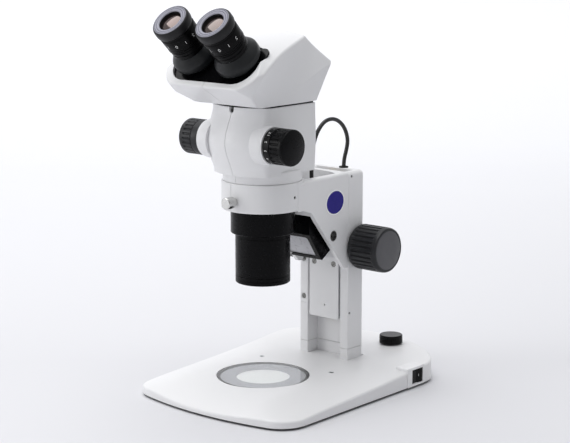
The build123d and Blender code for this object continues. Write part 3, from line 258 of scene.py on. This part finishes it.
FINISHES = (
    (WHITE, "base_shell column_foot column_housing column_rear_cover arm_casting ring_holder slide_plate "
            "zoom_body_left zoom_body_right head_left_shell head_right_shell"),
    (GLOSS, "front_panel power_rocker brightness_knob"),
    (BLACK, "mount_sleeve objective_barrel head_joint_ring eyepiece_barrel_left eyepiece_barrel_right "
            "diopter_ring_left diopter_ring_right"),
    (TUBE, "tube_left tube_right"),
    (RUBBER, "eyecup_left eyecup_right"),
    (FOOT, "rubber_feet cable_grommet"),
    (KNOB, "focus_knob_left focus_knob_right zoom_knob_left"),
    (DARK, "power_inlet lamp_housing zoom_knob_right"),
    (MOULDED, "switch_housing"),
    # painted shade: the mask ring is greyed for the shade inside the base under the stage glass
    (MASK_CAVITY_SHADE, "light_mask_ring"),
    (PLATE, "base_bottom_plate"),
    (CHROME, "ring_clamp_knob lamp_clip"),
    (SCREW, "arm_screws column_screws body_screw"),
    # frosted window, lightened partly as painted reflection
    (WINDOW_FROST_AND_REFLECTION, "lamp_window"),
    (STEEL, "focus_shaft zoom_shaft guide_rails zoom_guide_rods clip_sockets"),
    (BRASS, "focus_bushes focus_rack"),
    (ALUMINIUM, "zoom_carriage"),
    (PLATE_GLASS, "stage_plate"),
    (PRISM_GLASS, "prism_blocks"),
    (LENS, "objective_lens eye_lens_left eye_lens_right"),
    (MILKY, "light_diffuser"),
    (BOARD, "base_led_board control_board"),
    (JACKET, "lamp_cable"),
    (BLUE, "arm_badge"),
)


def finish_nodes():
    """The right material on every CAD node."""
    for finish, names in FINISHES:
        for name in names.split():
            for place in NODES[name].material_slots:
                place.material = finish


finish_nodes()


# ---- mesh helpers -------------------------------------------------------------------
GROOVE_EDGE, GROOVE_FLANK = 0.1, 0.6        # where a groove begins and how soon it is deep, as cosines


def linked(name, data):
    """New object in the scene for a mesh, curve, light or camera."""
    made = bpy.data.objects.new(name, data)
    bpy.context.scene.collection.objects.link(made)
    return made


def facing(origin, axis):
    """Matrix whose z lies on an axis and whose x is level."""
    z = Vector(axis).normalized()
    level = Vector((1, 0, 0)) if abs(z.x) < 0.9 else Vector((0, z.x, 0))
    y = z.cross(level).normalized()
    matrix = Matrix((y.cross(z), y, z)).transposed().to_4x4()
    matrix.translation = origin
    return matrix


def finished(name, work, material, sharp=35):
    """Object from a bmesh: smooth faces, with creases where it turns sharply."""
    bmesh.ops.recalc_face_normals(work, faces=work.faces)
    for face in work.faces:
        face.smooth = True
    for edge in work.edges:
        edge.smooth = edge.calc_face_angle(0) < radians(sharp)
    mesh = bpy.data.meshes.new(name)
    work.to_mesh(mesh)
    work.free()
    mesh.materials.append(material)
    return linked(name, mesh)


def groove(phase):
    """Depth of a groove between two ribs, from 0 on the rib to 1 in the groove."""
    share = min(1, max(0, (cos(phase) - GROOVE_EDGE) / GROOVE_FLANK))
    return share * share * (3 - 2 * share)


def turned(name, points, place, material, segments=144, ribs=0, depth=0.0):
    """Closed piece turned about z from (radius, height) points in millimetres.

    A third number is how deep the grooves between its ribs are at that point, 0 to 1."""
    work = bmesh.new()
    rings = []
    for radius, height, *share in points:
        cut = depth * share[0] if share else 0
        if radius == 0:
            rings.append([work.verts.new(place @ Vector((0, 0, height * MM)))])
            continue
        ring = []
        for step in range(segments):
            angle = tau * step / segments
            reach = (radius - cut * groove(angle * ribs)) * MM
            point = Vector((reach * cos(angle), reach * sin(angle), height * MM))
            ring.append(work.verts.new(place @ point))
        rings.append(ring)
    pairs = list(zip(rings, rings[1:]))
    if points[0][0] and points[-1][0]:
        pairs.append((rings[-1], rings[0]))
    for lower, upper in pairs:
        for step in range(segments):
            after = (step + 1) % segments
            corners = [lower[step % len(lower)], lower[after % len(lower)],
                       upper[after % len(upper)], upper[step % len(upper)]]
            unique = list(dict.fromkeys(corners))
            if len(unique) > 2:
                work.faces.new(unique)
    return finished(name, work, material)


def dress(piece, body, slot, *nodes):
    """A piece's body and the CAD nodes that it stands for, if any; the slot is not used."""
    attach(piece, body)
    if nodes:
        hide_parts(*nodes)


def text_mesh(name, text, size):
    """Flat mesh of a short text in ink, centred, with its size in millimetres."""
    curve = bpy.data.curves.new(name, "FONT")
    curve.body = text
    curve.size = size * MM
    curve.align_x = "CENTER"
    curve.align_y = "CENTER"
    holder = linked(name + "_text", curve)
    bpy.context.view_layer.update()
    mesh = bpy.data.meshes.new_from_object(holder)
    bpy.data.objects.remove(holder)
    mesh.materials.clear()
    mesh.materials.append(INK)
    return mesh


# ---- lamp cable ---------------------------------------------------------------------
CABLE_DIAMETER = 0.0044
CABLE_SIDES = 24
CABLE_X = 0.008
CABLE_ROUTE = (             # y from the optical axis and z, in millimetres
    (126.4, 229.5), (126.4, 241.5), (131.2, 252.5), (134, 265), (126, 280.5), (110.5, 290),
    (92.5, 289), (79, 277), (72.5, 261), (70.5, 244), (71, 228), (71.5, 214),
)


def centre_line(points):
    """Points along the smooth spline that a cord's route controls."""
    curve = bpy.data.curves.new("cable_route", "CURVE")
    curve.dimensions = "3D"
    spline = curve.splines.new("NURBS")
    spline.points.add(len(points) - 1)
    for control, point in zip(spline.points, points):
        control.co = (*point, 1)
    spline.order_u = 3
    spline.use_endpoint_u = True
    spline.resolution_u = 16
    holder = linked("cable_route", curve)
    bpy.context.view_layer.update()
    mesh = bpy.data.meshes.new_from_object(holder)
    path = [vertex.co.copy() for vertex in mesh.vertices]
    bpy.data.objects.remove(holder)
    bpy.data.meshes.remove(mesh)
    return path


def cable():
    """Lamp cable, from the column's grommet over into the arm's tray."""
    path = centre_line([(CABLE_X, AXIS_Y + y * MM, z * MM) for y, z in CABLE_ROUTE])
    work = bmesh.new()
    rings = []
    across = Vector((1, 0, 0))
    for index, point in enumerate(path):
        ahead = path[min(index + 1, len(path) - 1)] - path[max(index - 1, 0)]
        other = ahead.normalized().cross(across)
        rings.append([
            work.verts.new(point + CABLE_DIAMETER / 2 * (across * cos(turn) + other * sin(turn)))
            for turn in [tau * step / CABLE_SIDES for step in range(CABLE_SIDES)]
        ])
    for lower, upper in zip(rings, rings[1:]):
        for step in range(CABLE_SIDES):
            after = (step + 1) % CABLE_SIDES
            work.faces.new((lower[step], lower[after], upper[after], upper[step]))
    work.faces.new(rings[0])
    work.faces.new(rings[-1])
    piece = finished("lamp_cable_tube", work, JACKET)
    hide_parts("lamp_cable")
    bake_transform(piece)


cable()


# ---- knobs --------------------------------------------------------------------------
FOCUS_RIBS, FOCUS_RIB_DEPTH = 28, 1.5
ZOOM_RIBS, ZOOM_RIB_DEPTH = 24, 1.3
STEPS_PER_RIB = 12
ZOOM_NUMBERS = ("1", "1.5", "2", "3", "4", "5")
ZOOM_NUMBER_SIZE, ZOOM_NUMBER_HEIGHT = 4.2, 4.6
ZOOM_NUMBER_START, ZOOM_NUMBER_STEP = 105, 28       # degrees round the drum
PRINT_LIFT = 0.04                                   # how far a printed number stands off its drum


def knob_size(name, side):
    """How far out a knob's inner face is, in metres, with its radius and length in millimetres."""
    low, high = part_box(name)
    inner, outer = (low[0], high[0]) if side > 0 else (-high[0], -low[0])
    return inner, (high[2] - low[2]) / 2 / MM, (outer - inner) / MM


def knob(name, body, slot, place, points, ribs, depth, material):
    """Ribbed knob that stands for its CAD node, from its inner face outward."""
    piece = turned(name + "_grip", points, place, material, ribs * STEPS_PER_RIB, ribs, depth)
    dress(piece, body, slot, name)


def focus_knobs():
    """Two large knobs with long rounded ribs and a slightly domed cap in each face."""
    centre = Vector(JOINTS["focus_turn"]["pos_m"])
    for name, side in (("focus_knob_right", 1), ("focus_knob_left", -1)):
        inner, radius, length = knob_size(name, side)
        points = [
            (0, 0), (radius - 3, 0), (radius - 1, 0.8), (radius - 0.3, 2.2),
            (radius, 4), (radius, 4.8, 0.5), (radius, 6, 1),
            (radius, length - 8.5, 1), (radius - 0.05, length - 7, 0.5), (radius - 0.1, length - 6),
            (radius - 0.3, length - 3.4), (radius - 1, length - 1.6), (radius - 2.2, length - 0.9),
            (radius - 3.6, length - 1.2), (0, length - 1.2),
        ]
        cap_points = [
            (0, length - 2), (radius - 3.7, length - 2), (radius - 3.7, length - 1.1),
            (radius - 4.6, length - 0.9), (radius - 7, length - 0.5), (radius * 0.4, length), (0, length),
        ]
        place = facing((side * inner, centre.y, centre.z), (side, 0, 0))
        knob(name, "focus_drive", "dark_knob", place, points, FOCUS_RIBS, FOCUS_RIB_DEPTH, KNOB)
        cap = turned(name + "_cap", cap_points, place, KNOB_FACE)
        dress(cap, "focus_drive", "dark_knob")


def zoom_knobs():
    """Two smaller knobs: a plain drum, then ribs, then a smooth rim and face."""
    centre = Vector(JOINTS["zoom_turn"]["pos_m"])
    for name, side, slot, material in (("zoom_knob_right", 1, "black_plastic", DARK),
                                       ("zoom_knob_left", -1, "dark_knob", KNOB)):
        inner, radius, length = knob_size(name, side)
        points = [
            (0, 0), (radius - 1, 0), (radius - 0.2, 0.5), (radius, 1.2),
            (radius, 8.6), (radius - 0.7, 8.9), (radius - 0.7, 9.6), (radius - 0.1, 10),
            (radius - 0.1, 11, 1), (radius - 0.1, length - 6, 1), (radius - 0.1, length - 5),
            (radius, length - 4.2),
            (radius, length - 1.4), (radius - 0.5, length - 0.5), (radius - 1.3, length - 0.1),
            (1, length - 0.1), (0.8, length - 0.5), (0, length - 0.5),
        ]
        place = facing((side * inner, centre.y, centre.z), (side, 0, 0))
        knob(name, "zoom_drive", slot, place, points, ZOOM_RIBS, ZOOM_RIB_DEPTH, material)
        if side > 0:
            zoom_scale(place, radius)


def wrapped(name, text, size, place, radius, angle, height, body, slot):
    """A small number laid round a drum: angle about the drum's axis, height along it."""
    mesh = text_mesh(name, text, size)
    reach = (radius + PRINT_LIFT) * MM
    for vertex in mesh.vertices:
        turn = angle - vertex.co.x / reach
        vertex.co = place @ Vector((reach * cos(turn), reach * sin(turn), height * MM + vertex.co.y))
    dress(linked(name, mesh), body, slot)


def zoom_scale(place, radius):
    """White magnification numbers round the drum of the right zoom knob."""
    for index, text in enumerate(ZOOM_NUMBERS):
        angle = radians(ZOOM_NUMBER_START + ZOOM_NUMBER_STEP * index)
        wrapped(f"zoom_number_{index + 1}", text, ZOOM_NUMBER_SIZE, place, radius, angle,
                ZOOM_NUMBER_HEIGHT, "zoom_drive", "black_plastic")


# ---- eyepieces ----------------------------------------------------------------------
RIM_RADIUS = 18.8           # where the eyecup's rim reaches the top of its CAD box
GROOVE_STEPS = (2, 7)       # the two grooves among the steps across the eyecup's face
LENS_RADIUS, LENS_BULGE = 11.9, 2.2
DIOPTER_NUMBERS = ("2", "1", "0", "1", "2")
DIOPTER_NUMBER_SIZE, DIOPTER_NUMBER_RADIUS = 5.2, 19.42
DIOPTER_NUMBER_DEPTH = 20.5                             # below the eyecup's rim
DIOPTER_NUMBER_START, DIOPTER_NUMBER_STEP = -130, 32    # degrees round the ring


def eyecup_profile(rim):
    """Rubber eyecup up to its grooved face, whose rim stands at a given height."""
    return [
        (15.6, rim - 10.3), (18.6, rim - 10.3), (19.6, rim - 10), (20.2, rim - 9.3), (20.4, rim - 8.2),
        (20.4, rim - 4), (20.2, rim - 2.2), (19.7, rim - 1), (19.1, rim - 0.4), (18.6, rim - 0.3),
        (18.5, rim - 1), (12.5, rim - 1.6), (12.3, rim - 3), (12.2, rim - 8), (15.6, rim - 8),
    ]


def face_profile(rim):
    """Grooved ring that forms the eyecup's soft face."""
    points = [(12.6, rim - 1.6), (12.4, rim - 1.2), (12.9, rim - 0.5), (13.8, rim - 0.12)]
    for step in range(9):
        radius = 14.4 + 0.42 * step
        points.append((radius, rim - (1.0 if step in GROOVE_STEPS else 0.1)))
    return points + [(18.3, rim - 0.12), (18.5, rim - 0.4), (18.5, rim - 0.9)]


def ring_profile(rim):
    """Diopter ring below the eyecup, between two fine steps."""
    return [
        (15.4, rim - 28.4), (18.8, rim - 28.4), (19.2, rim - 28), (19.2, rim - 26.4),
        (18.9, rim - 26.1), (18.9, rim - 25.7), (19.2, rim - 25.4), (19.5, rim - 14.6),
        (19.2, rim - 13.5), (18.7, rim - 12.9), (18.7, rim - 10.5), (15.4, rim - 10.5),
    ]


def lens_profile(rim):
    """Eye lens, bulging a little towards the eye."""
    bulge = [
        (LENS_RADIUS * sin(step * pi / 32), rim - 5 + LENS_BULGE * cos(step * pi / 32))
        for step in range(16, -1, -2)
    ]
    return [(0, rim - 9), (LENS_RADIUS, rim - 9)] + bulge


def eyepieces():
    """Eyecups whose grey faces are a painted sheen of the overhead light on black rubber, eye lenses, and
    diopter rings with white index marks.
    """
    for hand in ("left", "right"):
        joint = JOINTS[f"diopter_{hand}_turn"]
        axis = Vector(joint["axis"]).normalized()
        origin = Vector(joint["pos_m"])
        top = Vector(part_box(f"eyecup_{hand}")[1])
        rim = (top.z - origin.z) / MM / axis.z - RIM_RADIUS * sqrt(1 - axis.z ** 2) / axis.z
        place = facing(origin, axis)
        body = f"diopter_{hand}"
        cup = turned(f"eyecup_{hand}_rubber", eyecup_profile(rim), place, RUBBER)
        dress(cup, body, "eyecup_rubber", f"eyecup_{hand}")
        # grey face: painted sheen of the overhead light on the black rubber
        face = turned(f"eyecup_{hand}_face", face_profile(rim), place, CUP_FACE_SHEEN)
        dress(face, body, "eyecup_rubber")
        ring = turned(f"diopter_{hand}_grip", ring_profile(rim), place, BLACK)
        dress(ring, body, "black_anodised", f"diopter_ring_{hand}")
        lens = turned(f"eye_lens_{hand}_glass", lens_profile(rim), place, EYE_GLASS)
        dress(lens, f"tube_{hand}", "optical_glass", f"eye_lens_{hand}")
        for index, text in enumerate(DIOPTER_NUMBERS):
            angle = radians(DIOPTER_NUMBER_START + DIOPTER_NUMBER_STEP * index)
            wrapped(f"diopter_mark_{hand}_{index + 1}", text, DIOPTER_NUMBER_SIZE, place,
                    DIOPTER_NUMBER_RADIUS, angle, rim - DIOPTER_NUMBER_DEPTH, body, "black_anodised")


# ---- badge and switch marks ---------------------------------------------------------
ROCKER_MARK_SIZE = 4.5
ROCKER_MARK_REACH = 0.27    # from the rocker's middle, as a share of its length
BORDER_OVERLAP, BORDER_WIDTH = 0.2, 0.9


def outer_face(name):
    """Point on, and normal of, a node's largest face that looks to the right, level with its middle."""
    mesh = NODES[name].data
    face = max((face for face in mesh.polygons if face.normal.x > 0.9), key=lambda face: face.area)
    low, high = (Vector(corner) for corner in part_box(name))
    centre = (low + high) / 2
    return centre + face.normal * (face.center - centre).dot(face.normal), face.normal


def rocker_marks():
    """Off and on marks at the two ends of the rocker."""
    centre, normal = outer_face("power_rocker")
    low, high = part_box("power_rocker")
    reach = (high[1] - low[1]) * ROCKER_MARK_REACH
    middle = facing(centre + normal * 0.05 * MM, normal)
    for state, text, side in (("off", "O", -1), ("on", "I", 1)):
        name = f"rocker_mark_{state}"
        mesh = text_mesh(name, text, ROCKER_MARK_SIZE)
        mesh.transform(middle @ Matrix.Translation((side * reach, 0, 0)))
        dress(linked(name, mesh), "power_rocker", "black_gloss")


def badge_rim():
    """Thin white border round the plain blue badge."""
    centre, outward = outer_face("arm_badge")
    low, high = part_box("arm_badge")
    height = (high[2] - low[2]) / 2 / MM
    width = (high[1] - low[1]) / 2 / MM
    place = facing(centre, outward) @ Matrix.Diagonal((width / height, 1, 1, 1))
    inside, outside = height - BORDER_OVERLAP, height + BORDER_WIDTH
    points = [(inside, -0.5), (outside, -0.5), (outside, 0), (inside, 0.05)]
    dress(turned("badge_rim", points, place, RIM), "arm", "blue_badge")


# ---- set screws, also painted shade in the pin holes --------------------------------
SIDE_SCREWS_AND_HOLE_SHADE = (
    # body, y from the optical axis, z, how far out, radius, in millimetres
    ("arm", 1.5, 220.5, 43.3, 1.66),
    ("stand", 105.6, 75.7, 34.1, 1.46),
    ("stand", 107.7, 228.5, 34.1, 1.46),
)


def screw_profile(radius):
    """Set screw sunk below the surface, with a round key hole in its end."""
    return [
        (0, -2.4), (radius, -2.4), (radius, -1), (radius - 0.3, -0.7),
        (0.8, -0.7), (0.8, -1.6), (0, -1.6),
    ]


def set_screws_and_hole_shade():
    """Black set screws in the pin holes on both sides of the ring and the column, also standing in as
    painted shade that darkens the holes.
    """
    index = 0
    for body, y, z, reach, radius in SIDE_SCREWS_AND_HOLE_SHADE:
        for side in (-1, 1):
            index += 1
            place = facing((side * reach * MM, AXIS_Y + y * MM, z * MM), (side, 0, 0))
            # black screw that also darkens its pin hole as painted shade
            piece = turned(f"set_screw_{index}", screw_profile(radius), place, GLOSS, 32)
            dress(piece, body, "black_gloss")


focus_knobs()
zoom_knobs()
set_screws_and_hole_shade()
eyepieces()
badge_rim()
rocker_marks()


# ---- camera, lights and floor -------------------------------------------------------
SWEEP_FRONT, SWEEP_BEND, SWEEP_TOP = -3.0, 1.8, 3.6     # metres, from the object
BEND_RADIUS, SWEEP_HALF_WIDTH = 1.2, 4
SWEEP_TURN = 41.5                                       # degrees, to face the camera
GLOW_NEAR, GLOW_FAR, GLOW_MOST = 0.1, 2.4, 0.45         # how the paper brightens with distance
SKY = (0.97, 0.98, 1, 1)
SKY_STRENGTH = 0.45
CAMERA_PLACE = (1.141, -1.3363, 0.5235)
CAMERA_HEADING, CAMERA_PITCH = 40.67, 10.95             # degrees left of +Y and below level
CAMERA_LENS, CAMERA_SENSOR = 104.8, 36
LIGHTS = (
    # name, watts, size, place and the point that it faces, in metres
    ("overhead", 45, (2.4, 2.4), (-0.3, -0.3, 2.2), (0, 0, 0.2)),
    ("front_left", 11, (0.9, 1.4), (-1.4, -1.7, 0.8), (0, 0, 0.25)),
)


def paper():
    """Pale backdrop with painted light: it glows brighter with distance behind the object."""
    made = surface("paper", (0.69, 0.69, 0.715), 0.75, Emission_Color=SKY)
    links = made.node_tree.links
    place = node(made, "ShaderNodeTexCoord")
    apart = node(made, "ShaderNodeSeparateXYZ")
    glow = node(made, "ShaderNodeMapRange")
    glow.inputs["From Min"].default_value = GLOW_NEAR
    glow.inputs["From Max"].default_value = GLOW_FAR
    glow.inputs["To Min"].default_value = 0.0
    glow.inputs["To Max"].default_value = GLOW_MOST
    links.new(place.outputs["Object"], apart.inputs["Vector"])
    links.new(apart.outputs["Y"], glow.inputs["Value"])
    shader = made.node_tree.nodes["Principled BSDF"]
    # painted light: emission rising with distance brightens the far floor and wall
    links.new(glow.outputs["Result"], shader.inputs["Emission Strength"])
    return made


def backdrop():
    """Floor that curves up into a wall, turned to face the camera."""
    work = bmesh.new()
    profile = [(SWEEP_FRONT, 0), (0, 0), (SWEEP_BEND, 0)]
    for step in range(1, 17):
        angle = pi * step / 32
        profile.append((SWEEP_BEND + BEND_RADIUS * sin(angle), BEND_RADIUS - BEND_RADIUS * cos(angle)))
    profile.append((SWEEP_BEND + BEND_RADIUS, SWEEP_TOP))
    rows = [[work.verts.new((side * SWEEP_HALF_WIDTH, y, z)) for side in (-1, 1)] for y, z in profile]
    for near, far in zip(rows, rows[1:]):
        work.faces.new((near[0], near[1], far[1], far[0]))
    sweep = finished("studio_sweep", work, paper(), 180)
    sweep.rotation_euler = (0, 0, radians(SWEEP_TURN))


def aim(holder, place, direction):
    """A light or the camera at its place, looking along a direction."""
    holder.location = place
    holder.rotation_euler = direction.to_track_quat("-Z", "Y").to_euler()


def lights():
    """Soft boxes and an even pale sky."""
    for name, energy, size, place, target in LIGHTS:
        light = bpy.data.lights.new(name, "AREA")
        light.energy = energy
        light.shape = "RECTANGLE"
        light.size, light.size_y = size
        aim(linked(name, light), place, Vector(target) - Vector(place))
    world = bpy.data.worlds.new("studio")
    world.use_nodes = True
    background = world.node_tree.nodes["Background"]
    background.inputs["Color"].default_value = SKY
    background.inputs["Strength"].default_value = SKY_STRENGTH
    bpy.context.scene.world = world
    bpy.context.scene.view_settings.view_transform = "Standard"


def view():
    """Camera in front of the object, to its right and a little above it."""
    heading, pitch = radians(CAMERA_HEADING), radians(CAMERA_PITCH)
    forward = Vector((-sin(heading) * cos(pitch), cos(heading) * cos(pitch), -sin(pitch)))
    camera = bpy.data.cameras.new("camera")
    camera.sensor_width = CAMERA_SENSOR
    camera.lens = CAMERA_LENS
    camera.clip_end = 50
    holder = linked("camera", camera)
    aim(holder, CAMERA_PLACE, forward)
    bpy.context.scene.camera = holder


backdrop()
lights()
view()
